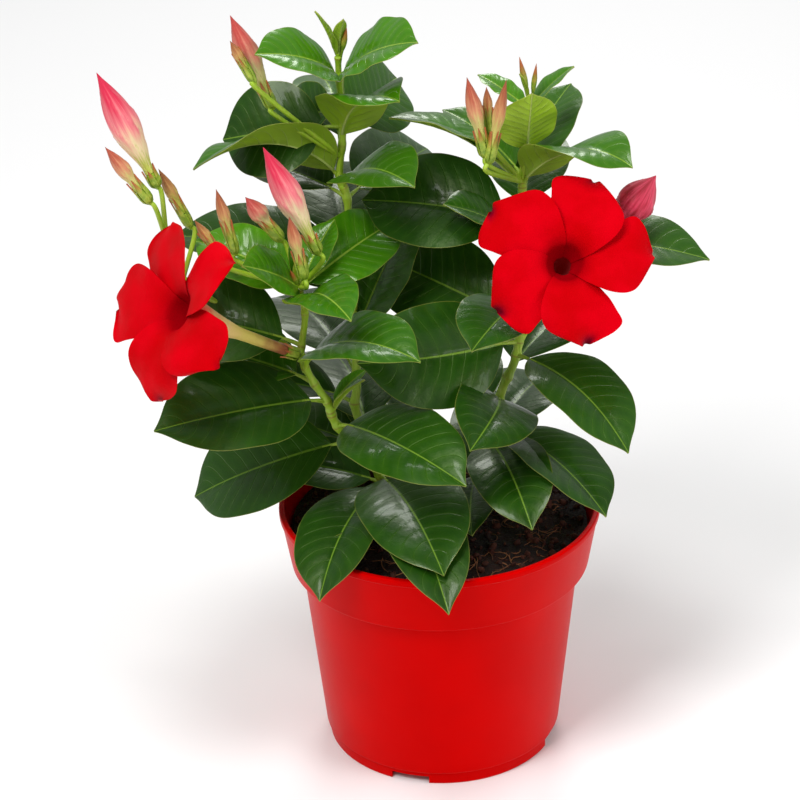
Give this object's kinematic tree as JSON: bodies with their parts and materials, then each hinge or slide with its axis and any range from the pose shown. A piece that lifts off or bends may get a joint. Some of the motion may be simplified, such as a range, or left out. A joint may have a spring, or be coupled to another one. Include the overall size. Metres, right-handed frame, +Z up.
{
  "type": "potted mandevilla",
  "caption": "Flowering mandevilla with glossy green leaves, red open blooms and closed buds, growing from peat in a tapered red plastic pot.",
  "frame": {"origin": "centre of the pot's foot, on the plane the pot stands on", "axes": "+Z up along the pot's axis; +Y towards the back of the plant, away from the side the picture shows; +X to the right of that side"},
  "size_m": [0.2511, 0.195, 0.332],
  "materials": {
    "pot": "satin moulded plastic",
    "soil": "moist peat with fibres",
    "foliage": "glossy leaf",
    "petals": "velvet petal",
    "buds": "satin bud"
  },
  "bodies": {
    "root": {"bloom_left": "petals", "bloom_right": "petals", "bud_left_1": "buds", "bud_left_2": "buds", "bud_left_3": "buds", "bud_left_4": "buds", "bud_left_5": "buds", "bud_left_6": "buds", "bud_left_7": "buds", "bud_left_8": "buds", "bud_middle_1": "buds", "bud_middle_2": "buds", "bud_right_1": "buds", "bud_right_2": "buds", "bud_right_3": "buds", "closed_bloom": "petals", "pot": "pot", "shoot_left": "foliage", "shoot_middle": "foliage", "shoot_right": "foliage", "soil": "soil"}
  },
  "joints": []
}
